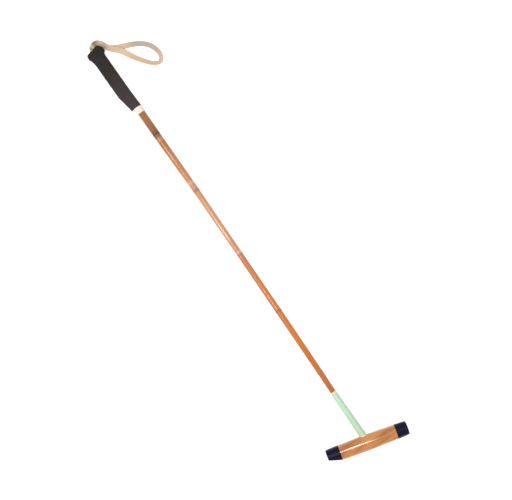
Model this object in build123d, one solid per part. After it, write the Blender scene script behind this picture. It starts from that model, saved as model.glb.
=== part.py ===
from build123d import *
import math
import os

# A polo mallet lying on its side on the floor. The cane runs along +X from the grip to the head, the toe of
# the head points to +Y, +Z is up and the floor is z = 0. Lengths are in mm and angles in degrees. The parts
# are made with x = 0 at the butt of the grip, and moved to the middle of the mallet when they are written.

# Cane: rattan, thick at the grip, with a slightly raised ring at each node
mallet_length = 1321.0      # butt of the grip to the underside of the head
cane_dia_at_collar = 21.0
cane_node_positions = (285.0, 472.8, 681.0, 867.4, 1070.2)
cane_node_dias = (20.6, 18.0, 16.8, 17.2, 16.2)
cane_node_offsets = (0.5, 3.1, 2.8, 2.3, 1.0)   # the cane bends a little at each node, towards the toe
cane_dia_at_sleeve = 15.4
node_ring_height = 0.45
node_ring_flat = 1.0        # half the length of the ring's crest
node_ring_reach = 3.0       # half its whole length

# The cane's tail is pared down where it is glued into the grip, and its tip swells in the head
tail_start = 32.0
tail_end_dia = 10.0
tail_bend_dia = 12.0
tail_shoulder_dia = 16.0
tip_entry_dia = 14.8
tip_exit_dia = 16.2
tip_lead = 4.0              # the tip's taper starts this far above the head

# Head: a hardwood barrel, cut away under the heel, with a thin cap bound on over each end
head_lean = 13.9            # how far the cane stands off square to the head
head_heel_length = 116.4    # cane to the heel's end, along the head
head_toe_length = 114.8
head_dia = 43.4             # at the belly
head_belly_offset = 8.0     # the belly lies this far from the cane towards the heel
heel_end_dia = 38.6
toe_end_dia = 37.2
head_rim_radius = 3.0
heel_cut_angle = 19.9
heel_cut_height = 5.4       # head axis down to the cut, at the heel's end
heel_cap_length = 37.0
toe_cap_length = 33.0
cap_wall = 0.65
cap_proud = 0.15            # how far a cap stands out from the wood
wedge_length = 34.0
wedge_width = 3.0           # at the underside of the head

# Sleeve of tape on the cane above the head: a pale layer below, a coloured one over it
sleeve_length = 144.1       # top of the pale tape to the head, along the cane's axis
sleeve_top_dia = 16.4
sleeve_bottom_dia = 18.8
overwrap_wall = 0.45
pale_top_showing = 3.5
pale_bottom_showing = 4.5

# Collar of white tape under the grip, over a packing that fairs the grip into the cane
collar_length = 17.7
collar_top_dia = 27.2
collar_bottom_dia = 23.6
collar_offset = 1.6         # the collar's top sits off the cane's axis, towards the grip's deep side
collar_tape_wall = 0.6

# Grip, from the butt: the flare, a neck and a bulk that tapers to the collar. The cane lies close to its
# toe side. heel and toe are the distances from the cane's axis to the grip's two sides.
grip_length = 197.1
grip_taper_length = 49.8
butt_tilt = 13.5            # the butt's face leans back towards the heel
butt_toe_radius = 16.0      # seen from above, the face rounds into the flare's two sides
butt_heel_radius = 8.0
flare_length = 17.0
flare_heel = 36.2
flare_toe = 15.0
flare_corner = 15.0
flare_rim = 6.0             # rounding between the face and the flats above and below
neck_length = 25.0
neck_toe_length = 8.0       # the toe side of the neck is shorter and steeper
neck_depth_length = 15.0
bulk_heel = 29.9
bulk_toe = 8.2
bulk_depth = 29.0
bend_heel = 28.6            # at the start of the last taper
bend_toe = 9.4
end_heel = 19.0
end_toe = 11.6
end_depth = 26.0
grip_corner = 11.0
wrap_wall = 1.8
butt_cap_wall = 3.0
neck_sections = 17

# Wrist thong: a doubled strap of webbing, pinned in a slot in the butt
strap_width = 16.0
strap_wall = 1.8
slot_offset = 19.5          # slot to the cane's axis, towards the heel
slot_depth = 31.0           # from the outermost point of the butt
slot_clearance = 0.2
tail_gap = 2.0              # end of the strap's tail to the bottom of the slot
pin_dia = 2.0
pin_length = 20.0
pin_depth = 17.0
pin_spread = 8.4
root_radius = 2.3           # rounded end of the two sewn layers, where the strap leaves the slot
root_gap = 0.3              # between that end and the tail in the slot
strap_fall_start = 2.0      # the strap leaves the slot's level here, in Y, and reaches the floor at the end
strap_fall_end = 42.0
strap_floor_gap = 0.3

# Sizes that follow from those above
axis_height = head_dia / 2              # the cane's axis lies level, at this height
flare_depth = head_dia                  # the flare and the head both touch the floor
lean = math.radians(head_lean)
underside_reach = head_dia / 2 / math.cos(lean)
head_x = mallet_length - underside_reach
tip_start = head_x - underside_reach - tip_lead
tip_over = head_dia / 4                 # tools for the head's bore reach this far past the underside
tip_growth = (tip_exit_dia - tip_entry_dia) / (mallet_length - tip_start)
grip_bend = grip_length - grip_taper_length
sleeve_top = head_x - underside_reach - sleeve_length
collar_end = grip_length + collar_length
cap_seat = cap_wall - cap_proud         # depth of the rebate that a head cap sits in
neck_end = flare_length + neck_length
tilt = math.radians(butt_tilt)
butt_crown = flare_toe - butt_toe_radius * (1 + (1 / math.cos(tilt) - 1) / math.tan(tilt))
slot_mouth = (butt_crown + slot_offset) * math.tan(tilt)    # X of the butt's face at the slot
root_x = slot_mouth - root_radius - root_gap
head_frame = Plane(origin=(head_x, 0, axis_height), x_dir=(math.sin(lean), math.cos(lean), 0), z_dir=(0, 0, 1))

# The strap's route seen from above, as points (x, y) from its root, chosen by hand: out of the slot, round
# beside the flare, out along one leg of the loop and back along the other. The strap stands on its edge.
strap_route = (
    (-0.2, -1.0),
    (-6.3, -1.6),
    (-13.2, 3.6),
    (-18.4, 11.0),
    (-20.0, 19.1),
    (-15.0, 25.5),
    (-4.9, 32.1),
    (6.5, 38.7),
    (15.2, 48.0),
    (24.0, 62.8),
    (37.6, 84.0),
    (48.6, 110.5),
    (66.6, 136.0),
    (90.6, 149.0),
    (114.1, 151.5),
    (128.6, 141.5),
    (124.6, 126.0),
    (106.6, 110.0),
    (82.6, 93.8),
    (58.6, 80.0),
    (38.5, 66.5),
    (30.4, 58.0),
    (18.8, 44.8),
    (8.3, 36.1),
    (-3.5, 29.9),
    (-13.4, 23.7),
    (-17.6, 18.5),
    (-16.4, 11.8),
    (-11.6, 5.2),
    (-5.7, 0.8),
    (0.2, 1.0),
)


def cone(x0, dia0, x1, dia1):
    """A solid round about the cane's axis, between two places along it."""
    outline = Polyline((x0, 0), (x0, dia0 / 2), (x1, dia1 / 2), (x1, 0), close=True)
    return Pos(0, 0, axis_height) * revolve(make_face(outline), Axis.X)


def slab(x0, x1):
    """A wide block between two places along the X axis, centred on it."""
    wide = 2 * mallet_length
    return Pos((x0 + x1) / 2, 0, 0) * Box(x1 - x0, wide, wide)


# Head

def head_form(inset):
    """The outside of the head in its own frame, moved inwards by inset. X runs to the toe, Y to the grip."""
    heel = (inset - head_heel_length, heel_end_dia / 2 - inset)
    belly = (-head_belly_offset, head_dia / 2 - inset)
    toe = (head_toe_length - inset, toe_end_dia / 2 - inset)
    crown = [TangentArc(belly, heel, tangent=(-1, 0)), TangentArc(belly, toe, tangent=(1, 0))]
    ends = Polyline(heel, (heel[0], 0), (toe[0], 0), toe)
    face = make_face([edge for part in (*crown, ends) for edge in part.edges()])
    rims = face.vertices().filter_by(lambda v: v.Y > 1 and abs(v.X + head_belly_offset) > 1)
    barrel = revolve(fillet(rims, head_rim_radius - inset), Axis.X)
    return barrel - heel_cut(inset)


def heel_cut(inset):
    """What the flat cut under the heel takes away."""
    angle = math.radians(heel_cut_angle)
    outward = Vector(-math.sin(angle), -math.cos(angle))
    start = Vector(-head_heel_length, -heel_cut_height) - outward * inset
    cut = Plane(origin=start, x_dir=(math.cos(angle), -math.sin(angle)), z_dir=outward)
    return extrude(cut * Rectangle(2 * head_heel_length, 2 * head_dia), head_dia)


def middle_of_head():
    return slab(heel_cap_length - head_heel_length, head_toe_length - toe_cap_length)


def tip_form():
    """The swelling tip of the cane, reaching past the underside of the head."""
    return cone(tip_start, tip_entry_dia, mallet_length + tip_over, tip_exit_dia + tip_over * tip_growth)


def wedge_form():
    """The slit in the cane's tip, and the wedge that fills it, across the grain of the head."""
    half = wedge_width / 2 * (1 + tip_over / wedge_length)
    far = mallet_length + tip_over
    slit = Polyline((mallet_length - wedge_length, 0), (far, -half), (far, half), close=True)
    return extrude(Pos(0, 0, axis_height) * make_face(slit), head_dia, both=True) & tip_form()


def head_barrel():
    wood = (head_form(0) & middle_of_head()) + head_form(cap_seat)
    return head_frame * wood - tip_form()


def head_cap(zone):
    return head_frame * ((head_form(-cap_proud) - head_form(cap_seat)) & zone)


def heel_cap():
    return head_cap(slab(-head_heel_length - head_dia, heel_cap_length - head_heel_length))


def toe_cap():
    return head_cap(slab(head_toe_length - toe_cap_length, head_toe_length + head_dia))


def head_wedge():
    return wedge_form() & (head_frame * head_form(0))


# Cane

def cane_sections():
    """The cane's diameter and its offset towards the toe where either changes, as (x, dia, offset).

    A shorter mallet has fewer nodes between its collar and its sleeve.
    """
    sections = [(grip_length, cane_dia_at_collar, 0), (collar_end, cane_dia_at_collar, 0)]
    nodes = zip(cane_node_positions, cane_node_dias, cane_node_offsets)
    for x, dia, offset in [node for node in nodes if node[0] + node_ring_reach < sleeve_top]:
        crest = dia + 2 * node_ring_height
        sections += [(x - node_ring_reach, dia, offset), (x - node_ring_flat, crest, offset)]
        sections += [(x + node_ring_flat, crest, offset), (x + node_ring_reach, dia, offset)]
    return sections + [(sleeve_top, cane_dia_at_sleeve, 0), (tip_start, tip_entry_dia, 0)]


def cane_tail():
    """The tail of the cane, pared down inside the grip."""
    bend = cone(tail_start, tail_end_dia, grip_bend, tail_bend_dia)
    return bend + cone(grip_bend, tail_bend_dia, grip_length, tail_shoulder_dia)


def cane():
    circles = [Plane(origin=(x, offset, axis_height), z_dir=(1, 0, 0)) * Circle(dia / 2)
               for x, dia, offset in cane_sections()]
    whole = cane_tail() + loft(circles, ruled=True) + tip_form()
    beyond = slab(head_x, mallet_length + head_dia) - head_frame * head_form(0)
    return whole - beyond - wedge_form()


# Sleeve

def sleeve_form(wall):
    """The tapering outside of the sleeve's lower layer, moved outwards by wall, down into the head."""
    growth = (sleeve_bottom_dia - sleeve_top_dia) / sleeve_length
    bottom_dia = sleeve_top_dia + (head_x - sleeve_top) * growth
    return cone(sleeve_top, sleeve_top_dia + 2 * wall, head_x, bottom_dia + 2 * wall)


def sleeve_base_tape(stick):
    return sleeve_form(0) - stick - head_frame * head_form(0)


def sleeve_overwrap():
    outer = sleeve_form(overwrap_wall) & slab(sleeve_top + pale_top_showing, mallet_length)
    return outer - sleeve_form(0) - head_frame * head_form(-pale_bottom_showing)


# Collar

def collar_form(inset):
    top = Plane(origin=(grip_length, -collar_offset, axis_height), z_dir=(1, 0, 0))
    bottom = Plane(origin=(collar_end, 0, axis_height), z_dir=(1, 0, 0))
    rings = [top * Circle(collar_top_dia / 2 - inset), bottom * Circle(collar_bottom_dia / 2 - inset)]
    return loft(rings, ruled=True)


def collar_tape():
    return collar_form(0) - collar_form(collar_tape_wall)


def collar_packing(stick):
    return collar_form(collar_tape_wall) - stick


# Grip

def ease(x, start, length, value0, value1):
    """A change from value0 to value1 over a length, quick at first and level at its end."""
    share = min(max((x - start) / length, 0), 1)
    return value0 + (value1 - value0) * math.sin(math.pi / 2 * share)


def grip_section(x, heel, toe, depth, corner, inset):
    """A rounded section of the grip, moved inwards by inset."""
    place = Plane(origin=(x, (toe - heel) / 2, axis_height), x_dir=(0, 1, 0), z_dir=(1, 0, 0))
    return place * RectangleRounded(heel + toe - 2 * inset, depth - 2 * inset, corner - inset)


def neck_section(x, inset):
    heel = ease(x, flare_length, neck_length, flare_heel, bulk_heel)
    toe = ease(x, flare_length, neck_toe_length, flare_toe, bulk_toe)
    depth = ease(x, flare_length, neck_depth_length, flare_depth, bulk_depth)
    corner = ease(x, flare_length, neck_depth_length, flare_corner, grip_corner)
    return grip_section(x, heel, toe, depth, corner, inset)


def butt_face_x(y, depth):
    """Where the leaning plane that lies depth behind the butt's face is, at a place y."""
    return (butt_crown - y) * math.tan(tilt) + depth / math.cos(tilt)


def flare_plan(inset, depth):
    """The flare seen from above: the leaning face, rounded into the heel side and the toe side."""
    heel, toe = inset - flare_heel, flare_toe - inset
    heel_corner, toe_corner = (butt_face_x(heel, depth), heel), (butt_face_x(toe, depth), toe)
    plan = make_face(Polyline((flare_length, heel), heel_corner, toe_corner, (flare_length, toe), close=True))
    for corner, radius in ((heel_corner, butt_heel_radius - inset), (toe_corner, butt_toe_radius - depth)):
        plan = fillet(plan.vertices().sort_by_distance((*corner, 0))[:1], radius)
    return extrude(Pos(0, 0, axis_height) * plan, flare_depth, both=True)


def flare_side(inset, depth):
    """The flare seen along its face: flats above and below, rounded into the leaning face."""
    reach = 2 * flare_heel
    edge = Plane(origin=(butt_face_x(0, depth), 0, axis_height), x_dir=(math.cos(tilt), math.sin(tilt), 0),
                 z_dir=(math.sin(tilt), -math.cos(tilt), 0))
    side = Pos(reach / 2, 0) * Rectangle(reach, flare_depth - 2 * inset)
    side = fillet(side.vertices(), flare_rim - inset)
    return extrude(edge * side, reach, both=True)


def grip_form(inset, depth):
    """The outside of the grip, moved inwards by inset, and by depth from the butt's face."""
    base = grip_section(0, flare_heel, flare_toe, flare_depth, flare_corner, inset)
    block = extrude(base, flare_length, dir=(1, 0, 0)) & flare_plan(inset, depth) & flare_side(inset, depth)
    steps = [flare_length + neck_length * i / (neck_sections - 1) for i in range(neck_sections)]
    neck = loft([neck_section(x, inset) for x in steps])
    neck_base = neck_section(neck_end, inset)
    bend = grip_section(grip_bend, bend_heel, bend_toe, bulk_depth, grip_corner, inset)
    end = grip_section(grip_length, end_heel, end_toe, end_depth, grip_corner, inset)
    bulk = loft([neck_base, bend], ruled=True)
    taper = loft([bend, end], ruled=True)
    return block + neck + bulk + taper


def butt_side(depth):
    """Everything on the butt's side of the leaning plane that lies depth behind its face."""
    reach = 4 * flare_heel
    place = Plane(origin=(butt_face_x(0, depth), 0, axis_height), z_dir=(-math.cos(tilt), -math.sin(tilt), 0))
    return extrude(place * Rectangle(reach, reach), reach)


def slot_box(x0, x1, clearance):
    """A block in the place of the strap's tail."""
    size = (x1 - x0, 2 * strap_wall + 2 * clearance, strap_width + 2 * clearance)
    return Pos((x0 + x1) / 2, -slot_offset, axis_height) * Box(*size)


def thong_pins():
    """The two pins that cross the slot, through both layers of the strap."""
    heights = (axis_height - pin_spread / 2, axis_height + pin_spread / 2)
    pin = Rot(90, 0, 0) * Cylinder(pin_dia / 2, pin_length)
    return [Pos(pin_depth, -slot_offset, height) * pin for height in heights]


def grip_cheeks(stick):
    """The wooden core, as the two cheeks that are glued on over the cane."""
    core = grip_form(wrap_wall, butt_cap_wall) - stick - slot_box(0, slot_depth, slot_clearance)
    for pin in thong_pins():
        core -= pin
    half = Box(4 * grip_length, 4 * grip_length, axis_height)
    upper = core & Pos(0, 0, axis_height * 1.5) * half
    lower = core & Pos(0, 0, axis_height / 2) * half
    return upper, lower


def grip_wrap():
    return grip_form(0, 0) - grip_form(wrap_wall, butt_cap_wall) - butt_side(butt_cap_wall)


def butt_cap():
    cap = grip_form(0, 0) & butt_side(butt_cap_wall)
    return cap - slot_box(-flare_length, slot_depth, slot_clearance)


# Thong

def thong_tail():
    tail = slot_box(slot_mouth, slot_depth - tail_gap, 0)
    ends = tail.edges().filter_by(Axis.Z).sort_by(Axis.X)[-2:]
    tail = fillet(ends, 0.9 * strap_wall)
    for pin in thong_pins():
        tail -= pin
    return tail


def route_radii(points):
    """The largest arc at each turn that leaves a little of each run straight."""
    radii = []
    for before, here, after in zip(points, points[1:], points[2:]):
        come, go = here - before, after - here
        turn = math.radians(max(come.get_angle(go), 1))
        radii.append(0.45 * min(come.length, go.length) / math.tan(turn / 2))
    return radii


def strap_band():
    """The height that the strap keeps between: level with the slot, then down to the floor."""
    lie = strap_floor_gap + strap_width / 2
    reach = mallet_length
    line = ((-reach, axis_height), (strap_fall_start, axis_height), (strap_fall_end, lie), (reach, lie))
    lower = [(y, z - strap_width / 2) for y, z in line]
    upper = [(y, z + strap_width / 2) for y, z in line]
    side = make_face(Polyline(*lower, *reversed(upper), close=True))
    return extrude(Plane.YZ * side, reach, both=True)


def strap_root(points):
    """The rounded end that the strap swings on, flat against the ends of both layers."""
    swing = (points[0] + points[-1]) / 2 - Vector(0, 0, strap_width / 2)
    place = Plane(origin=swing, x_dir=points[0] - points[1], z_dir=(0, 0, 1))
    half = Circle(root_radius) & Pos(root_radius, 0) * Rectangle(2 * root_radius, 2 * root_radius)
    return extrude(place * half, strap_width)


def thong():
    points = [Vector(root_x + x, y - slot_offset, axis_height) for x, y in strap_route]
    radii = route_radii(points)
    path = FilletPolyline(*points, radius=radii)
    heading = points[1] - points[0]
    across = Plane(origin=points[0], x_dir=Vector(0, 0, 1).cross(heading), z_dir=heading)
    tall = sweep(across * Rectangle(strap_wall, 2 * axis_height), path=path)
    strap = tall & strap_band()
    straight_volume = path.length * strap_width * strap_wall
    print("thong route length", round(path.length, 1), "radii", [round(radius, 1) for radius in radii])
    print("thong strap volume", round(strap.volume), "section times length", round(straight_volume))
    return Compound([*strap.solids(), strap_root(points)])


def write_parts():
    stick = cane()
    upper_cheek, lower_cheek = grip_cheeks(stick)
    mallet = {
        "cane": stick,
        "head_barrel": head_barrel(),
        "head_wedge": head_wedge(),
        "heel_cap": heel_cap(),
        "toe_cap": toe_cap(),
        "sleeve_base_tape": sleeve_base_tape(stick),
        "sleeve_overwrap": sleeve_overwrap(),
        "collar_packing": collar_packing(stick),
        "collar_tape": collar_tape(),
        "grip_cheek_upper": upper_cheek,
        "grip_cheek_lower": lower_cheek,
        "grip_wrap": grip_wrap(),
        "butt_cap": butt_cap(),
        "thong_tail": thong_tail(),
        "thong_pins": Compound(thong_pins()),
    }
    box = Compound([solid for part in mallet.values() for solid in part.solids()]).bounding_box()
    middle = Pos(-box.center().X, -box.center().Y, -box.min.Z)
    print("butt at", middle.position, "size", box.size)
    os.makedirs("parts", exist_ok=True)
    for name, part in {**mallet, "thong": thong()}.items():
        export_step(middle * part, f"parts/{name}.step")


write_parts()
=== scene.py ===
import math
import bpy
from mathutils import Matrix, Vector


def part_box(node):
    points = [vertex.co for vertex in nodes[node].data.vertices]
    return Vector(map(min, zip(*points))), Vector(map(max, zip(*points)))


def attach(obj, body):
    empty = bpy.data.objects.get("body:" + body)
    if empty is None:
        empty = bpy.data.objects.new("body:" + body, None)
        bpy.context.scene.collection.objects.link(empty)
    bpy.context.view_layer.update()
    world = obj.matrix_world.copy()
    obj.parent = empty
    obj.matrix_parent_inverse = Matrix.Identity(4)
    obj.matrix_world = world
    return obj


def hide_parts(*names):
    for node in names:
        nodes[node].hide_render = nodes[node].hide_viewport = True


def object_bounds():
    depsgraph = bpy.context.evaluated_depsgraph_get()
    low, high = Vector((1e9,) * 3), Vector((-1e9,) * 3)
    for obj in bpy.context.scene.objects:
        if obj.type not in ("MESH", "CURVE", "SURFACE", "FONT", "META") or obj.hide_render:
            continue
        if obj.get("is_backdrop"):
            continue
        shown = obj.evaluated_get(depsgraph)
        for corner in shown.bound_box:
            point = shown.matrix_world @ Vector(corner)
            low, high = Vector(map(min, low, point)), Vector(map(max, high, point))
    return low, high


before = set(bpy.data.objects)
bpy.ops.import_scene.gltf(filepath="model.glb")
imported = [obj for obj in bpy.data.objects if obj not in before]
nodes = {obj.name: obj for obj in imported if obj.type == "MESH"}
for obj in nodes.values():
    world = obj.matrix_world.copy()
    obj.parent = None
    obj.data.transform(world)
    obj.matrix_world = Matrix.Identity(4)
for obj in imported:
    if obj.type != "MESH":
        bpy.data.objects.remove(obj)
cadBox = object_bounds()

# Where things are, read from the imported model. The mallet lies on its side along +X, butt to head.
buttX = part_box("butt_cap")[0].x
sleeveLow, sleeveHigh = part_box("sleeve_overwrap")
axisY = (sleeveLow.y + sleeveHigh.y) / 2
axisZ = (sleeveLow.z + sleeveHigh.z) / 2
print("frame loaded:", len(nodes), "nodes, butt at x", round(buttX, 4))


# One socket of a node tree, with the sums that the patterns and windings use.
class Wire:
    def __init__(self, tree, socket):
        self.tree = tree
        self.socket = socket

    def sum(self, operation, *values):
        return makeNode(self.tree, "ShaderNodeMath", {"operation": operation}, dict(enumerate(values)))

    def __add__(self, other):
        return self.sum("ADD", self, other)

    def __radd__(self, other):
        return self.sum("ADD", other, self)

    def __sub__(self, other):
        return self.sum("SUBTRACT", self, other)

    def __rsub__(self, other):
        return self.sum("SUBTRACT", other, self)

    def __mul__(self, other):
        return self.sum("MULTIPLY", self, other)

    def __rmul__(self, other):
        return self.sum("MULTIPLY", other, self)

    def __truediv__(self, other):
        return self.sum("DIVIDE", self, other)

    def __rtruediv__(self, other):
        return self.sum("DIVIDE", other, self)

    def fraction(self):
        return self.sum("FRACT", self)

    def whole(self):
        return self.sum("FLOOR", self)

    def size(self):
        return self.sum("ABSOLUTE", self)

    def sine(self):
        return self.sum("SINE", self)

    def cosine(self):
        return self.sum("COSINE", self)

    def least(self, other):
        return self.sum("MINIMUM", self, other)

    def most(self, other):
        return self.sum("MAXIMUM", self, other)

    def held(self):
        # between 0 and 1
        return self.least(1.0).most(0.0)

    def under(self, limit):
        return self.sum("LESS_THAN", self, limit)

    def over(self, limit):
        return self.sum("GREATER_THAN", self, limit)

    def fade(self, low, high, lowValue=0.0, highValue=1.0):
        steps = {"Value": self, "From Min": low, "From Max": high, "To Min": lowValue, "To Max": highValue}
        return makeNode(self.tree, "ShaderNodeMapRange", {"interpolation_type": "SMOOTHSTEP"}, steps)

    def within(self, rise, fall):
        # 1 on a stretch that fades in over rise and out over fall
        return self.fade(*rise) * (1.0 - self.fade(*fall))

    def tint(self, first, second):
        return mixColour(self.tree, self, first, second)

    def stain(self, share, tone):
        return mixColour(self.tree, share, self, tone)

    def shade(self, share, tone):
        return mixColour(self.tree, share, self, tone, "MULTIPLY")

    def part(self, axis):
        return makeNode(self.tree, "ShaderNodeSeparateXYZ", {}, {0: self}, axis)


def makeNode(tree, kind, settings, sockets, output=0):
    made = tree.nodes.new(kind)
    for name, value in settings.items():
        if name == "stops":
            setStops(made.color_ramp, value)
        else:
            setattr(made, name, value)
    for name, value in sockets.items():
        if isinstance(value, Wire):
            tree.links.new(value.socket, made.inputs[name])
        else:
            made.inputs[name].default_value = value
    return Wire(tree, made.outputs[output]) if len(made.outputs) else None


def setStops(ramp, stops):
    while len(ramp.elements) < len(stops):
        ramp.elements.new(1.0)
    for element, (place, tone) in zip(ramp.elements, stops):
        element.position = place
        element.color = tone


def mixColour(tree, share, first, second, blend="MIX"):
    settings = {"data_type": "RGBA", "blend_type": blend}
    return makeNode(tree, "ShaderNodeMix", settings, {0: share, 6: first, 7: second}, 2)


def pointVector(tree, x, y, z):
    return makeNode(tree, "ShaderNodeCombineXYZ", {}, {0: x, 1: y, 2: z})


def colour(tone):
    # an sRGB colour, 0 to 255, as the linear colour that a shader takes
    values = [v / 255 for v in tone]
    return tuple(v / 12.92 if v <= 0.04045 else ((v + 0.055) / 1.055) ** 2.4 for v in values) + (1.0,)


def noise(tree, vector, scale, detail=3.0, roughness=0.5, stretch=(1, 1, 1), place=(0, 0, 0), turn=0.0):
    # noise in metres: scale is in features per metre, stretch squeezes it along an axis
    sockets = {"Vector": vector, "Location": place, "Rotation": (0, 0, turn), "Scale": stretch}
    placed = makeNode(tree, "ShaderNodeMapping", {"vector_type": "POINT"}, sockets)
    values = {"Vector": placed, "Scale": scale, "Detail": detail, "Roughness": roughness}
    return makeNode(tree, "ShaderNodeTexNoise", {}, values)


def around(point, centre):
    # the angle round a line along X at the cane's height, in turns from 0 to 1
    y, z = point.part(1) - (axisY + centre), point.part(2) - axisZ
    return (y.sum("ARCTAN2", z, y) / (2 * math.pi) + 1.0).fraction()


def newFinish(name):
    # an empty material, its tree, and the point on the piece in metres
    material = bpy.data.materials.new(name)
    material.use_nodes = True
    tree = material.node_tree
    tree.nodes.clear()
    point = makeNode(tree, "ShaderNodeTexCoord", {}, {}, "Object")
    return material, tree, point


def closeFinish(tree, sockets, bump=None, bumpHeight=None, bumpStrength=None):
    if bump is not None:
        heights = {"Height": bump, "Distance": bumpHeight, "Strength": bumpStrength}
        sockets["Normal"] = makeNode(tree, "ShaderNodeBump", {}, heights)
    shader = makeNode(tree, "ShaderNodeBsdfPrincipled", {}, sockets)
    makeNode(tree, "ShaderNodeOutputMaterial", {}, {"Surface": shader})


def paintNode(name, material):
    mesh = nodes[name].data
    mesh.materials.clear()
    mesh.materials.append(material)


def addObject(name, data):
    made = bpy.data.objects.new(name, data)
    bpy.context.scene.collection.objects.link(made)
    return made


def plainMesh(thing):
    # what an object's curve or modifiers make, as a mesh of its own
    return bpy.data.meshes.new_from_object(thing.evaluated_get(bpy.context.evaluated_depsgraph_get()))


def faceOutward(mesh):
    volume = sum(polygon.center.dot(polygon.normal) * polygon.area for polygon in mesh.polygons)
    if volume < 0:
        mesh.flip_normals()


studio = dict(
    cameraHeight=3.0,               # above the cane's axis
    viewWidth=1.3884,               # what the camera takes in, from side to side
    viewMiddle=(0.0253, 0.0450),    # the point below the camera
    viewAcross=(0.5660, 0.8244),    # which way its right-hand side lies on the floor
    skyLevel=0.62,                  # light from all round
    floorSize=14.0,
    floorGrey=0.80,
    floorGlow=0.50,                 # added where the floor is seen, so that it shows white
    lamps=(                         # place, the place it is aimed at, size in x and y, power
        ((-0.153, -1.02, 3.0), (-0.153, -0.4, 0), (0.164, 2.75), 22.0),
        ((-0.640, -1.02, 3.0), (-0.640, -0.4, 0), (0.125, 2.75), 12.5),
        ((0.308, -1.02, 3.0), (0.308, -0.4, 0), (0.087, 2.75), 12.0),
        ((-0.175, 0.154, 3.0), (-0.175, 0.154, 0), (1.05, 0.40), 18.0),
    ),
)


def placeCamera():
    camera = addObject("camera", bpy.data.cameras.new("camera"))
    across = Vector((*studio["viewAcross"], 0)).normalized()
    upward = Vector((0, 0, 1)).cross(across)
    turn = Matrix((across, upward, (0, 0, 1))).transposed().to_4x4()
    place = Vector((*studio["viewMiddle"], axisZ + studio["cameraHeight"]))
    camera.matrix_world = Matrix.Translation(place) @ turn
    camera.data.lens = camera.data.sensor_width * studio["cameraHeight"] / studio["viewWidth"]
    bpy.context.scene.camera = camera


def seenWhite(tree):
    # 1 for what the camera sees, straight or by reflection, and 0 for the light that falls on the mallet
    rays = [makeNode(tree, "ShaderNodeLightPath", {}, {}, name)
            for name in ("Is Camera Ray", "Is Glossy Ray", "Is Transmission Ray")]
    return rays[0].most(rays[1]).most(rays[2])


def makeSky():
    world = bpy.data.worlds.new("sky")
    bpy.context.scene.world = world
    world.use_nodes = True
    tree = world.node_tree
    tree.nodes.clear()
    level = seenWhite(tree).fade(0, 1, studio["skyLevel"], 1.0)
    light = makeNode(tree, "ShaderNodeBackground", {}, {"Color": (1, 1, 1, 1), "Strength": level})
    makeNode(tree, "ShaderNodeOutputWorld", {}, {"Surface": light})


def makeFloor():
    half, grey = studio["floorSize"] / 2, studio["floorGrey"]
    mesh = bpy.data.meshes.new("floor")
    corners = [(-half, -half, 0), (half, -half, 0), (half, half, 0), (-half, half, 0)]
    mesh.from_pydata(corners, [], [(0, 1, 2, 3)])
    floor = addObject("floor", mesh)
    material, tree, point = newFinish("floor_white")
    lit = makeNode(tree, "ShaderNodeBsdfDiffuse", {}, {"Color": (grey, grey, grey, 1)})
    glow = makeNode(tree, "ShaderNodeEmission", {}, {"Color": (1, 1, 1, 1), "Strength": studio["floorGlow"]})
    bright = makeNode(tree, "ShaderNodeAddShader", {}, {0: lit, 1: glow})
    shader = makeNode(tree, "ShaderNodeMixShader", {}, {0: seenWhite(tree), 1: lit, 2: bright})
    makeNode(tree, "ShaderNodeOutputMaterial", {}, {"Surface": shader})
    mesh.materials.append(material)
    floor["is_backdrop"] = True


def placeLamps():
    for index, (place, target, size, power) in enumerate(studio["lamps"]):
        lamp = addObject(f"lamp_{index}", bpy.data.lights.new(f"lamp_{index}", "AREA"))
        lamp.data.shape = "RECTANGLE"
        lamp.data.size, lamp.data.size_y = size
        lamp.data.energy = power
        aim = Vector(place) - Vector(target)
        lamp.matrix_world = Matrix.Translation(place) @ aim.to_track_quat("Z", "Y").to_matrix().to_4x4()


placeCamera()
makeSky()
makeFloor()
placeLamps()
bpy.context.scene.view_settings.view_transform = "Standard"
print("studio ready")


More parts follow.
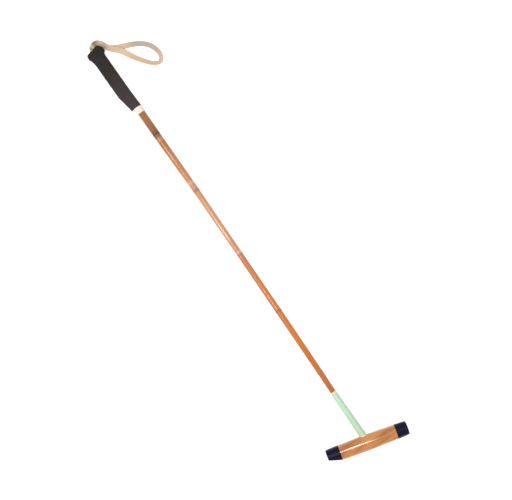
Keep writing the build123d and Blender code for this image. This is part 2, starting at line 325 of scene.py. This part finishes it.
# The wrist thong: one strap of webbing that leaves the slot in the butt, rolls over in a curl beside it, goes
# round the loop and comes back on the curl's other side. A place on its route is x and y from the hairpin in
# the slot and z from the floor, in millimetres, then how far the strap leans over to the right of its own
# direction, in degrees.
thong = dict(
    width=0.016,
    wall=0.0017,
    length=0.459,
    step=0.00045,           # one row of mesh
    pathStep=8,             # rows between the points of the stated path
    warpEnds=9,             # warp cords across the strap
    columnsPerEnd=4,        # columns of mesh in each cord
    ribPitch=0.0018,        # weft ribs along it
    ribHeight=0.00013,
    ribDepth=0.75,          # how much of that height rises and falls
    crownPower=0.7,         # how full a cord is, seen end on
    edgeRound=0.00055,
    edgeCorner=(0.3, 0.62), # the rounded edge's corners, as shares of edgeRound and of half the wall
    rootGap=0.0026,         # from the tail in the slot to the middle of the hairpin
    rootRadius=0.00102,
    rootSteps=16,
    route=(
        (-0.2, -1.0, 21.7, 0), (-4.6, -0.9, 21.7, 0), (-10.0, 2.1, 21.3, -12),
        (-11.0, 6.7, 20.6, -30), (-11.9, 11.7, 19.7, -42), (-13.4, 17.4, 18.2, -55),
        (-14.0, 22.9, 16.3, -64), (-11.0, 28.9, 14.6, -66), (-5.3, 35.1, 12.6, -57),
        (1.8, 40.3, 10.5, -50), (9.0, 42.9, 7.5, -58), (17.2, 48.9, 5.0, -66),
        (25.4, 61.2, 4.2, -68), (34.6, 84.8, 5.2, -58), (45.4, 111.8, 6.0, -52),
        (63.9, 138.0, 6.2, -50), (88.4, 151.2, 6.2, -50), (112.2, 152.9, 6.2, -49),
        (126.5, 141.7, 6.2, -49), (121.6, 126.7, 6.0, -50), (104.8, 110.4, 5.6, -55),
        (80.6, 92.6, 4.8, -66), (56.4, 78.6, 5.2, -82), (39.2, 69.2, 7.8, -100),
        (30.2, 58.4, 9.8, -111), (20.4, 49.8, 10.8, -112), (14.0, 44.6, 11.5, -115),
        (8.6, 41.0, 12.2, -124), (2.8, 38.9, 12.5, -130), (-4.5, 34.1, 14.6, -123),
        (-10.2, 28.3, 17.0, -114), (-12.8, 22.7, 18.9, -116), (-11.8, 17.8, 20.6, -125),
        (-9.7, 12.3, 21.9, -138), (-8.2, 7.3, 22.2, -150), (-7.2, 2.7, 21.9, -168),
        (-4.2, 1.1, 21.7, -180), (0.2, 1.0, 21.7, -180),
    ),
    front=(220, 194, 163), back=(211, 189, 167), patch=(220, 183, 153), thread=(192, 166, 138),
    weave=(172, 148, 122), greyLeg=(176, 161, 146), endLight=(234, 231, 212), foldShade=(0.50, 0.46, 0.45, 1),
    greyLegSpan=((0.105, 0.145), (0.200, 0.235)),   # greyer along one leg, in metres along the strap
    betweenEndLight=((0.010, 0.022), (0.438, 0.444)),     # the stretch between its two ends, which go into the butt; the ends are painted light, paler over the shade between the layers
    foldShadeSpan=((0.417, 0.433), (0.4365, 0.4400)),  # painted shade where it is folded over, beside the butt
)


def splineLine(points):
    # a smooth NURBS line through the loose route, read back as points
    curve = bpy.data.curves.new("route", "CURVE")
    curve.dimensions = "3D"
    spline = curve.splines.new("NURBS")
    spline.points.add(len(points) - 1)
    for point, place in zip(spline.points, points):
        point.co = (*place, 1.0)
    spline.order_u = 3
    spline.use_endpoint_u = True
    spline.resolution_u = 24
    holder = addObject("route", curve)
    mesh = plainMesh(holder)
    line = [vertex.co.copy() for vertex in mesh.vertices]
    bpy.data.objects.remove(holder)
    bpy.data.curves.remove(curve)
    bpy.data.meshes.remove(mesh)
    return line


def evenSteps(line, leans, step):
    # places at equal steps along the line, each with its lean and its distance from the start
    total = sum((b - a).length for a, b in zip(line, line[1:]))
    count = round(total / step)
    places, walked, index = [], 0.0, 0
    for number in range(count + 1):
        target = total * number / count
        while index < len(line) - 2 and walked + (line[index + 1] - line[index]).length < target:
            walked += (line[index + 1] - line[index]).length
            index += 1
        run = (line[index + 1] - line[index]).length
        share = min(max((target - walked) / run, 0), 1)
        places.append((line[index].lerp(line[index + 1], share),
                       leans[index] + (leans[index + 1] - leans[index]) * share, target))
    return places, total


def strapSection():
    # the strap's outline as places across and through it: flat faces with softly rounded edges
    half, wall, soft = thong["width"] / 2, thong["wall"] / 2, thong["edgeRound"]
    inward, through = thong["edgeCorner"]
    columns = thong["warpEnds"] * thong["columnsPerEnd"]
    face = [-half + soft + (2 * half - 2 * soft) * i / columns for i in range(columns + 1)]
    front = [(u, wall) for u in face]
    back = [(u, -wall) for u in reversed(face)]
    rightEdge = [(half - soft * inward, wall * through), (half, 0.0), (half - soft * inward, -wall * through)]
    leftEdge = [(-u, -v) for u, v in rightEdge]
    return front + rightEdge + back + leftEdge


def weaveHeight(across, along, side):
    # a plain weave: ribs that pass over and under the warp cords in turn, out of step on the two faces
    cord = (across / thong["width"] + 0.5) * thong["warpEnds"]
    rib = along / thong["ribPitch"] + 0.5 * (int(math.floor(cord)) % 2) + 0.25 * side
    crown = math.sin(math.pi * (cord - math.floor(cord))) ** thong["crownPower"]
    wave = math.sin(2 * math.pi * rib) * thong["ribDepth"] + 1 - thong["ribDepth"]
    return thong["ribHeight"] * wave * crown


def strapRows(places, section):
    # the woven section set square to the line at each place; only its two faces are woven
    verts = []
    for number, (place, lean, along) in enumerate(places):
        before, after = places[max(number - 1, 0)][0], places[min(number + 1, len(places) - 1)][0]
        heading = (after - before).normalized()
        right = heading.cross(Vector((0, 0, 1))).normalized()
        upright = right.cross(heading)
        wide = upright * math.cos(math.radians(lean)) + right * math.sin(math.radians(lean))
        outward = heading.cross(wide)
        for u, v in section:
            side = 1 if v > 0 else -1
            lift = weaveHeight(u, along, side) if abs(v) > thong["wall"] * 0.49 else 0.0
            verts.append(place + wide * u + outward * (v + side * lift))
    return verts


def makeStrap(name, places, material):
    section = strapSection()
    size = len(section)
    outline = [0.0]
    for (u0, v0), (u1, v1) in zip(section, section[1:] + section[:1]):
        outline.append(outline[-1] + math.hypot(u1 - u0, v1 - v0))
    faces, coords = [], []
    for row in range(len(places) - 1):
        low, high = places[row][2], places[row + 1][2]
        for column in range(size):
            a, b = row * size + column, row * size + (column + 1) % size
            faces.append((a, b, b + size, a + size))
            coords += [(outline[column], low), (outline[column + 1], low), (outline[column + 1], high),
                       (outline[column], high)]
    last = (len(places) - 1) * size
    faces.append(tuple(reversed(range(size))))
    faces.append(tuple(range(last, last + size)))
    coords += [(outline[i], 0.0) for i in reversed(range(size))]
    coords += [(outline[i], places[-1][2]) for i in range(size)]
    mesh = bpy.data.meshes.new(name)
    mesh.from_pydata(strapRows(places, section), [], faces)
    layer = mesh.uv_layers.new(name="strap")
    for loop, uv in zip(layer.data, coords):
        loop.uv = uv
    mesh.polygons.foreach_set("use_smooth", [True] * (len(faces) - 2) + [False, False])
    mesh.materials.append(material)
    faceOutward(mesh)
    strap = addObject(name, mesh)
    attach(strap, "thong")
    return strap


def makeThong(material):
    tailLow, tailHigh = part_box("thong_tail")
    hairpin = Vector((tailLow.x - thong["rootGap"], (tailLow.y + tailHigh.y) / 2, 0))
    line = splineLine([hairpin + Vector(point[:3]) / 1000 for point in thong["route"]])
    leans = [co.x for co in splineLine([(point[3], 0, 0) for point in thong["route"]])]
    places, total = evenSteps(line, leans, thong["step"])
    strap = makeStrap("wrist_thong", places, material)
    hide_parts("thong")
    # the path's points, thinned, with the strap's true end as the last
    path = [tuple(place) for place, lean, along in places[:-4:thong["pathStep"]]] + [tuple(places[-1][0])]
    makeRoot(hairpin, math.atan2(*reversed(thong["route"][0][:2])), material)
    print("thong made, length", round(total, 4), "m")


def makeRoot(hairpin, start, material):
    # the hairpin, where the two layers turn into the slot
    bend = []
    for number in range(thong["rootSteps"] + 1):
        turn = math.pi * number / thong["rootSteps"]
        arm = Vector((math.cos(start + turn), math.sin(start + turn), 0)) * thong["rootRadius"]
        bend.append((hairpin + arm + Vector((0, 0, axisZ)), 0.0, thong["rootRadius"] * turn))
    makeStrap("thong_root", bend, material)


def webbingFinish():
    # cotton webbing: threads and a plain weave, greyer along one leg, with painted light on its two ends and
    # painted shade at the fold
    material, tree, point = newFinish("cotton_webbing")
    place = makeNode(tree, "ShaderNodeUVMap", {"uv_map": "strap"}, {})
    across, along = place.part(0), place.part(1)
    patches = noise(tree, point, 38.0, detail=2.0)
    threads = noise(tree, place, 1100.0, detail=2.0, roughness=0.6, stretch=(1.0, 0.6, 1.0))
    cords = (across * (math.pi * thong["warpEnds"] / thong["width"])).sine().size()
    ribs = (along * (2 * math.pi / thong["ribPitch"])).sine() * 0.5 + 0.5
    onFront = across.under(thong["width"] + thong["wall"] / 2)
    base = onFront.tint(colour(thong["back"]), colour(thong["front"]))
    base = patches.fade(0.42, 0.70).tint(base, colour(thong["patch"]))
    base = base.stain(threads.fade(0.35, 0.75) * 0.4, colour(thong["thread"]))
    base = base.stain((1.0 - cords.fade(0.0, 0.45)) * 0.30, colour(thong["weave"]))
    base = base.stain(ribs * 0.14, colour(thong["weave"]))
    base = base.stain(along.within(*thong["greyLegSpan"]) * 0.75, colour(thong["greyLeg"]))
    # painted light: the two ends beside the slot, made paler
    base = base.stain((1.0 - along.within(*thong["betweenEndLight"])) * 0.85, colour(thong["endLight"]))
    # painted shade in the fold beside the butt
    base = base.shade(along.within(*thong["foldShadeSpan"]), thong["foldShade"])
    closeFinish(tree, {"Base Color": base, "Roughness": 0.92, "Sheen Weight": 0.25},
                threads, bumpHeight=0.00015, bumpStrength=0.5)
    return material


webbing = webbingFinish()
makeThong(webbing)
paintNode("thong_tail", webbing)


# Tape and wrap wound in laps round a tube-like CAD node, all from one tree. Each lap rises to a ridge on the
# CAD surface and steps down to the next; the winding has a wall and meets itself inside.
winding = dict(
    probeFrom=0.05,         # rays that look for the tube's end start this far past it
    probeLength=0.12,
    rayFrom=0.06,           # rays that look for its surface start this far out
    rayLength=0.20,
    climb=0.975,            # how much of a lap rises; the rest is the step
    weld=0.000004,
    endGap=0.00001,
    sharp=48,               # degrees between faces that meet in an edge
)
gripWrap = dict(
    node="grip_wrap", slot="grip_rubber",
    centre=-0.0105,         # the grip's middle lies off the cane's axis, in y
    start=0.00493,          # from the butt
    pitch=0.0235, lapHeight=0.00042, wall=0.0016,
    lean=13.5, leanReach=0.022,     # the first rows lean back as the butt's face does, in degrees
    fade=0.003, rim=0.0, rows=7, inner=40, around=128,
    dark=(32, 31, 28), brown=(51, 44, 36), cool=(44, 40, 46), pale=(72, 63, 65),
    nap=(74, 66, 58), edge=(20, 17, 15), ridge=(84, 76, 70),
    paleSpan=(0.030, 0.190),        # from the butt, greyer towards the collar: a painted highlight on the taper
)
collarTape = dict(
    node="collar_tape", slot="white_tape", centre=-0.0008,
    pitch=0.0062, lapHeight=0.00022, wall=0.0005, lean=0.0, leanReach=1.0,
    fade=0.0004, rim=0.0, rows=6, inner=4, around=96,
    girth=0.080, weave=1100.0, seamWidth=0.0004, seamDepth=0.35, roughness=0.70,
    light=(240, 231, 221), patchAndShade=(238, 224, 208), seam=(204, 186, 166),
)
sleeveTape = dict(
    node="sleeve_overwrap", slot="mint_tape", centre=0.0,
    pitch=0.0165, lapHeight=0.00014, wall=0.00040, lean=0.0, leanReach=1.0,
    fade=0.0006, rim=0.0096, rows=7, inner=6, around=96,    # rim is how far out the rays meet its end
    girth=0.060, weave=1000.0, seamWidth=0.0006, seamDepth=0.30, roughness=0.55,
    light=(190, 219, 190), patchAndShade=(182, 212, 184), seam=(158, 192, 164),
    footShadeFrom=1.186, footShadeFade=0.03,  # from the butt, painted shade all over towards the head
)
creamTape = dict(sleeveTape, light=(232, 226, 194), patchAndShade=(224, 216, 178), seam=(200, 190, 146),
                 roughness=0.65)


def castRay(tree, target, origin, direction, length):
    values = {"Target Geometry": target, "Source Position": origin,
              "Ray Direction": direction, "Ray Length": length}
    return makeNode(tree, "GeometryNodeRaycast", {}, values).socket.node.outputs


def windingTree():
    tree = bpy.data.node_groups.new("winding", "GeometryNodeTree")
    kinds = dict(target="Object", finish="Material", around="Int", rows="Int", laps="Int", inner="Int")
    sizeNames = "start end pitch lapHeight wall centreY centreZ lean leanReach fade rim".split()
    kinds.update({name: "Float" for name in sizeNames})
    for name, kind in kinds.items():
        tree.interface.new_socket(name, in_out="INPUT", socket_type="NodeSocket" + kind)
    tree.interface.new_socket("winding", in_out="OUTPUT", socket_type="NodeSocketGeometry")
    given = tree.nodes.new("NodeGroupInput")
    value = {name: Wire(tree, given.outputs[name]) for name in kinds}
    start, pitch = value["start"], value["pitch"]
    outerRows = value["laps"] * value["rows"]
    rows = outerRows + value["inner"] + 1
    grid = {"Size X": 1.0, "Size Y": 1.0, "Vertices X": value["around"] + 1, "Vertices Y": rows}
    sheet = makeNode(tree, "GeometryNodeMeshGrid", {}, grid)
    spot = makeNode(tree, "GeometryNodeInputPosition", {}, {})
    turn = spot.part(0) + 0.5
    row = ((spot.part(1) + 0.5) * (rows - 1) + 0.5).whole()
    angle = turn * (2 * math.pi)
    cosine, sine = angle.cosine(), angle.sine()
    target = makeNode(tree, "GeometryNodeObjectInfo", {}, {"Object": value["target"]}, "Geometry")
    # where the tube ends at this angle
    probe = pointVector(tree, value["end"] + winding["probeFrom"], value["centreY"] + cosine * value["rim"],
                        value["centreZ"] + sine * value["rim"])
    hit = castRay(tree, target, probe, (-1, 0, 0), winding["probeLength"])
    found, reached = Wire(tree, hit["Is Hit"]), Wire(tree, hit["Hit Position"]).part(0)
    end = value["end"] + found * (reached - value["end"])
    # rows of the outside follow the laps, rows of the inside run straight back, and the last row closes it
    lap = (row / value["rows"] + 0.0001).whole()    # the small share keeps a whole number from rounding down
    climb = (row - lap * value["rows"]) / (value["rows"] - 1)
    along = start - pitch + (lap + climb * winding["climb"] + turn) * pitch
    outside = along.most(start).least(end)
    share = (row - outerRows) / (value["inner"] - 1)
    isLast = row.over(outerRows + value["inner"] - 0.5)
    isInner = row.over(outerRows - 0.5) * row.under(outerRows + value["inner"] - 0.5)
    inside = end + (start - end) * share.held()
    x = outside + isInner * (inside - outside) + isLast * (start - outside)
    # each point drops on to the tube from outside, then by its depth under the ridge or inside the wall
    slope = value["lean"] * (1.0 - ((x - start) / value["leanReach"]).held())
    reach = winding["rayFrom"]
    origin = pointVector(tree, x - slope * cosine * reach, value["centreY"] + cosine * reach,
                         value["centreZ"] + sine * reach)
    inward = pointVector(tree, slope * cosine, 0 - cosine, 0 - sine)
    surface = Wire(tree, castRay(tree, target, origin, inward, winding["rayLength"])["Hit Position"])
    near = ((x - start) / value["fade"]).least((end - x) / value["fade"]).held()
    underRidge = value["lapHeight"] * (1.0 - climb) * near * (1.0 - isInner) * (1.0 - isLast)
    drop = underRidge + isInner * value["wall"]
    shift = makeNode(tree, "ShaderNodeVectorMath", {"operation": "SCALE"}, {0: inward, "Scale": drop})
    place = makeNode(tree, "ShaderNodeVectorMath", {"operation": "ADD"}, {0: surface, 1: shift})
    shaped = makeNode(tree, "GeometryNodeSetPosition", {}, {"Geometry": sheet, "Position": place})
    joined = makeNode(tree, "GeometryNodeMergeByDistance", {}, {"Geometry": shaped, "Distance": winding["weld"]})
    smooth = makeNode(tree, "GeometryNodeSetShadeSmooth", {}, {"Geometry": joined, "Shade Smooth": True})
    whole = makeNode(tree, "GeometryNodeRealizeInstances", {}, {"Geometry": smooth})
    painted = makeNode(tree, "GeometryNodeSetMaterial", {}, {"Geometry": whole, "Material": value["finish"]})
    makeNode(tree, "NodeGroupOutput", {}, {0: painted})
    return tree


def makeWinding(name, tree, facts, finish):
    low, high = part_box(facts["node"])
    start = buttX + facts["start"] if "start" in facts else low.x + winding["endGap"]
    end = high.x - winding["endGap"]
    laps = math.ceil((end - start) / facts["pitch"]) + 2
    values = dict(facts, target=nodes[facts["node"]], finish=finish, laps=laps, start=start, end=end,
                  centreY=axisY + facts["centre"], centreZ=axisZ, lean=math.tan(math.radians(facts["lean"])))
    piece = addObject(name, bpy.data.meshes.new(name))
    modifier = piece.modifiers.new("winding", "NODES")
    modifier.node_group = tree
    for item in tree.interface.items_tree:
        if item.in_out == "INPUT":
            modifier[item.identifier] = values[item.name]
    mesh = plainMesh(piece)
    piece.modifiers.remove(modifier)
    piece.data = mesh
    faceOutward(mesh)
    mesh.set_sharp_from_angle(angle=math.radians(winding["sharp"]))
    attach(piece, "mallet")
    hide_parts(facts["node"])
    print(name, "made,", len(mesh.polygons), "faces")


def lapPhase(point, turn, facts, start):
    # how far a point is through its lap, from 0 to 1
    return ((point.part(0) - start) / facts["pitch"] - turn).fraction()


def gripFinish():
    # dark rubber wrap with a suede-like face: mottled, worn paler on the ridges
    material, tree, point = newFinish("grip_rubber_wrap")
    fromButt = point.part(0) - buttX
    turn = around(point, gripWrap["centre"])
    phase = lapPhase(point, turn, gripWrap, buttX + gripWrap["start"])
    blotch = noise(tree, point, 42.0, roughness=0.55)
    tones = noise(tree, point, 30.0, detail=2.0, place=(0.4, 0.3, 0.1))
    nap = noise(tree, point, 900.0, roughness=0.65)
    base = blotch.fade(0.38, 0.66).tint(colour(gripWrap["dark"]), colour(gripWrap["brown"]))
    base = tones.fade(0.45, 0.68).tint(base, colour(gripWrap["cool"]))
    # painted highlight: paler towards the collar, where the grip tapers
    base = base.stain(fromButt.fade(*gripWrap["paleSpan"]) * 0.7, colour(gripWrap["pale"]))
    base = base.stain(nap.fade(0.50, 0.72) * 0.25, colour(gripWrap["nap"]))
    base = base.stain((1.0 - phase.fade(0.0, 0.05)) * 0.6, colour(gripWrap["edge"]))
    base = base.stain(phase.fade(0.90, 0.985) * 0.25, colour(gripWrap["ridge"]))
    closeFinish(tree, {"Base Color": base, "Roughness": 0.86, "Specular IOR Level": 0.15},
                nap + blotch * 0.5, bumpHeight=0.00022, bumpStrength=0.8)
    return material


def tapeFinish(name, facts):
    # cloth tape: a fine woven face, a darker line where each lap ends
    material, tree, point = newFinish(name)
    turn = around(point, facts["centre"])
    phase = lapPhase(point, turn, facts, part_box(facts["node"])[0].x)
    perMetre = facts["weave"] * math.pi * 2
    warp = (turn * (facts["girth"] * perMetre)).sine() * 0.5 + 0.5
    weft = (point.part(0) * perMetre).sine() * 0.5 + 0.5
    threads = warp * weft
    patches = noise(tree, point, 70.0)
    patchAndShade = patches.fade(0.35, 0.70)
    # painted shade: the tape darker all over towards the head
    if "footShadeFrom" in facts:
        footShadeX = buttX + facts["footShadeFrom"]
        patchAndShade = patchAndShade.most(point.part(0).fade(footShadeX, footShadeX + facts["footShadeFade"]))
    base = patchAndShade.tint(colour(facts["light"]), colour(facts["patchAndShade"]))
    seam = 1.0 - phase.fade(0.0, facts["seamWidth"] / facts["pitch"])
    base = base.stain(seam * facts["seamDepth"], colour(facts["seam"]))
    base = base.stain(threads * 0.10, colour(facts["seam"]))
    closeFinish(tree, {"Base Color": base, "Roughness": facts["roughness"]},
                threads * 0.5 + patches * 0.5, bumpHeight=0.00006, bumpStrength=0.6)
    return material


tree = windingTree()
makeWinding("grip_winding", tree, gripWrap, gripFinish())
makeWinding("collar_winding", tree, collarTape, tapeFinish("collar_tape_white", collarTape))
makeWinding("sleeve_winding", tree, sleeveTape, tapeFinish("sleeve_tape_mint", sleeveTape))
cream = tapeFinish("sleeve_tape_cream", creamTape)
paintNode("sleeve_base_tape", cream)
paintNode("collar_packing", cream)
print("windings made, their bindings painted")


cane = dict(
    # colours by place, in metres from the butt
    colours=(
        (0.212, (156, 101, 47)), (0.242, (158, 99, 48)), (0.261, (150, 87, 40)), (0.279, (139, 83, 37)),
        (0.302, (160, 101, 50)), (0.326, (178, 110, 54)), (0.407, (195, 129, 83)), (0.453, (198, 138, 98)),
        (0.527, (202, 148, 106)), (0.600, (206, 149, 109)), (0.665, (205, 140, 99)), (0.700, (193, 119, 72)),
        (0.744, (198, 119, 57)), (0.787, (204, 117, 56)), (0.885, (198, 111, 32)), (0.952, (202, 112, 22)),
        (1.028, (197, 106, 18)), (1.093, (192, 108, 29)), (1.123, (179, 100, 23)), (1.160, (164, 91, 29)),
    ),
    # bands at the nodes: place, half width, depth, colour; the pale bands at 0.304, 0.448 and 0.6765 are painted
    # highlights beside swollen nodes
    rings=(
        (0.2835, 0.0120, 0.60, (98, 58, 44)), (0.2850, 0.0044, 0.45, (64, 38, 38)),
        (0.3040, 0.0090, 0.30, (228, 170, 136)), (0.4480, 0.0080, 0.32, (238, 180, 164)),
        (0.4728, 0.0110, 0.35, (150, 116, 98)), (0.4728, 0.0030, 0.45, (104, 74, 62)),
        (0.6600, 0.0090, 0.35, (216, 130, 104)), (0.6765, 0.0080, 0.32, (246, 206, 180)),
        (0.6830, 0.0070, 0.40, (160, 100, 66)), (0.8674, 0.0070, 0.30, (160, 92, 44)),
        (0.8674, 0.0024, 0.60, (112, 62, 34)), (1.0690, 0.0080, 0.30, (150, 92, 56)),
        (1.0702, 0.0020, 0.22, (100, 60, 40)),
    ),
    # what long streaks, fine streaks and clouds make of that colour
    streak=(0.72, 0.64, 0.50, 1), fine=(1.22, 1.30, 1.40, 1), cloud=(0.84, 0.80, 0.80, 1), depth=0.5,
    coat=0.85, coatRoughness=0.12,
)


def caneFinish():
    # varnished cane: long streaks, a band at each node with painted highlights beside three, colour that deepens
    # towards the head
    material, tree, point = newFinish("cane_varnished")
    along = point.part(0) - buttX
    low, high = cane["colours"][0][0], cane["colours"][-1][0]
    stops = [((place - low) / (high - low), colour(tone)) for place, tone in cane["colours"]]
    base = makeNode(tree, "ShaderNodeValToRGB", {"stops": stops}, {0: (along - low) / (high - low)})
    streaks = noise(tree, point, 60.0, detail=4.0, roughness=0.6, stretch=(0.05, 7.0, 7.0))
    fine = noise(tree, point, 160.0, roughness=0.7, stretch=(0.04, 12.0, 12.0), place=(0.3, 0, 0))
    clouds = noise(tree, point, 28.0, detail=2.0, stretch=(0.6, 1.4, 1.4), place=(0.1, 0.2, 0))
    base = base.shade(streaks.fade(0.40, 0.70) * cane["depth"], cane["streak"])
    base = base.shade(fine.fade(0.48, 0.72) * cane["depth"], cane["fine"])
    base = base.shade(clouds.fade(0.48, 0.72) * cane["depth"], cane["cloud"])
    height = streaks * 0.6 + fine * 0.4
    # the pale bands among these are painted highlights
    for place, width, depth, tone in cane["rings"]:
        ring = 1.0 - (along - place).size().fade(width * 0.2, width)
        base = base.stain(ring * depth, colour(tone))
        height = height - ring * depth
    rough = fine.fade(0.3, 0.8, 0.28, 0.40)
    closeFinish(tree, {"Base Color": base, "Roughness": rough, "Specular IOR Level": 0.1,
                       "Coat Weight": cane["coat"], "Coat Roughness": cane["coatRoughness"]},
                height, bumpHeight=0.00012, bumpStrength=0.6)
    return material


# lean is how far a pattern is turned from across the cane, in degrees: the head leans off square
head = dict(lean=13.9, wood=(208, 138, 62), dark=(168, 100, 44), pore=(70, 36, 20), warm=(206, 128, 92))
wedge = dict(lean=90, wood=(196, 146, 98), dark=(160, 108, 68), pore=(92, 56, 34), warm=(190, 130, 90))


def headWoodFinish(name, facts):
    # hardwood under clear varnish: grain along the head, short dark pores, a soft figure
    material, tree, point = newFinish(name)
    turn = math.radians(facts["lean"])
    figure = noise(tree, point, 16.0, stretch=(5.0, 0.55, 5.0), place=(0.05, 0.1, 0), turn=turn)
    grain = noise(tree, point, 120.0, detail=4.0, roughness=0.6, stretch=(6.0, 0.22, 6.0), turn=turn)
    pores = noise(tree, point, 420.0, detail=2.0, stretch=(3.0, 0.22, 3.0), place=(0.4, 0, 0), turn=turn)
    blush = noise(tree, point, 40.0, roughness=0.6, stretch=(2.5, 0.6, 2.5), place=(0.2, 0.3, 0), turn=turn)
    base = figure.fade(0.36, 0.66).tint(colour(facts["wood"]), colour(facts["dark"]))
    base = base.stain(blush.fade(0.50, 0.72) * 0.55, colour(facts["warm"]))
    base = base.stain(grain.fade(0.48, 0.72) * 0.55, colour(facts["dark"]))
    pits = pores.fade(0.62, 0.74)
    base = base.stain(pits * 0.75, colour(facts["pore"]))
    rough = grain.fade(0.3, 0.8, 0.26, 0.38)
    closeFinish(tree, {"Base Color": base, "Roughness": rough, "Specular IOR Level": 0.1,
                       "Coat Weight": 1.0, "Coat Roughness": 0.09},
                grain * 0.5 - pits, bumpHeight=0.00008, bumpStrength=0.5)
    return material


cap = dict(lean=head["lean"], film=(7, 5, 30), fold=(15, 12, 42), scuff=(66, 62, 76))


def capFinish():
    # near-black film bound over the head's ends: slight wrinkles, small scuffs
    material, tree, point = newFinish("cap_film_black")
    turn = math.radians(cap["lean"])
    wrinkles = noise(tree, point, 55.0, detail=4.0, roughness=0.6, turn=turn)
    scuffs = noise(tree, point, 240.0, detail=5.0, roughness=0.7, stretch=(2.5, 0.5, 1.0), place=(0.2, 0, 0),
                   turn=turn)
    base = wrinkles.fade(0.35, 0.70).tint(colour(cap["film"]), colour(cap["fold"]))
    base = base.stain(scuffs.fade(0.66, 0.78) * 0.4, colour(cap["scuff"]))
    rough = scuffs.fade(0.40, 0.78, 0.34, 0.58)
    closeFinish(tree, {"Base Color": base, "Roughness": rough, "Specular IOR Level": 0.12},
                wrinkles + scuffs * 0.2, bumpHeight=0.0004, bumpStrength=0.5)
    return material


butt = dict(rubber=(28, 25, 16), cloud=(40, 36, 24), grit=(62, 57, 44))


def buttFinish():
    # plain black rubber, a little gritty
    material, tree, point = newFinish("butt_rubber_black")
    grit = noise(tree, point, 1200.0, roughness=0.6)
    clouds = noise(tree, point, 60.0)
    base = clouds.fade(0.35, 0.70).tint(colour(butt["rubber"]), colour(butt["cloud"]))
    base = base.stain(grit.fade(0.58, 0.75) * 0.3, colour(butt["grit"]))
    closeFinish(tree, {"Base Color": base, "Roughness": 0.8, "Specular IOR Level": 0.15},
                grit + clouds, bumpHeight=0.00015, bumpStrength=0.7)
    return material


gripCore = dict(wood=(206, 170, 122), dark=(182, 140, 94))


def gripCoreFinish():
    # bare wood, out of sight under the wrap
    material, tree, point = newFinish("grip_wood_plain")
    grain = noise(tree, point, 90.0, detail=4.0, roughness=0.6, stretch=(0.12, 5.0, 5.0))
    base = grain.fade(0.36, 0.68).tint(colour(gripCore["wood"]), colour(gripCore["dark"]))
    closeFinish(tree, {"Base Color": base, "Roughness": 0.6}, grain, bumpHeight=0.0001, bumpStrength=0.5)
    return material


pins = dict(brass=(205, 170, 95), dull=(176, 140, 74))


def brassFinish():
    # turned brass, dulled in streaks
    material, tree, point = newFinish("brass_plain")
    marks = noise(tree, point, 900.0, roughness=0.6, stretch=(1, 1, 0.1))
    base = marks.fade(0.35, 0.70).tint(colour(pins["brass"]), colour(pins["dull"]))
    rough = marks.fade(0.3, 0.8, 0.25, 0.45)
    closeFinish(tree, {"Base Color": base, "Roughness": rough, "Metallic": 1.0})
    return material


capFilm, coreWood = capFinish(), gripCoreFinish()
finishes = dict(
    cane=caneFinish(), butt_cap=buttFinish(), thong_pins=brassFinish(),
    head_barrel=headWoodFinish("head_wood_varnished", head),
    head_wedge=headWoodFinish("wedge_wood_varnished", wedge),
    heel_cap=capFilm, toe_cap=capFilm, grip_cheek_upper=coreWood, grip_cheek_lower=coreWood,
)
for name, finish in finishes.items():
    paintNode(name, finish)
print("finishes on all nodes")

sizes = dict(cadLow=list(cadBox[0]), cadHigh=list(cadBox[1]))
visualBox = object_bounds()
sizes.update(lookLow=list(visualBox[0]), lookHigh=list(visualBox[1]))
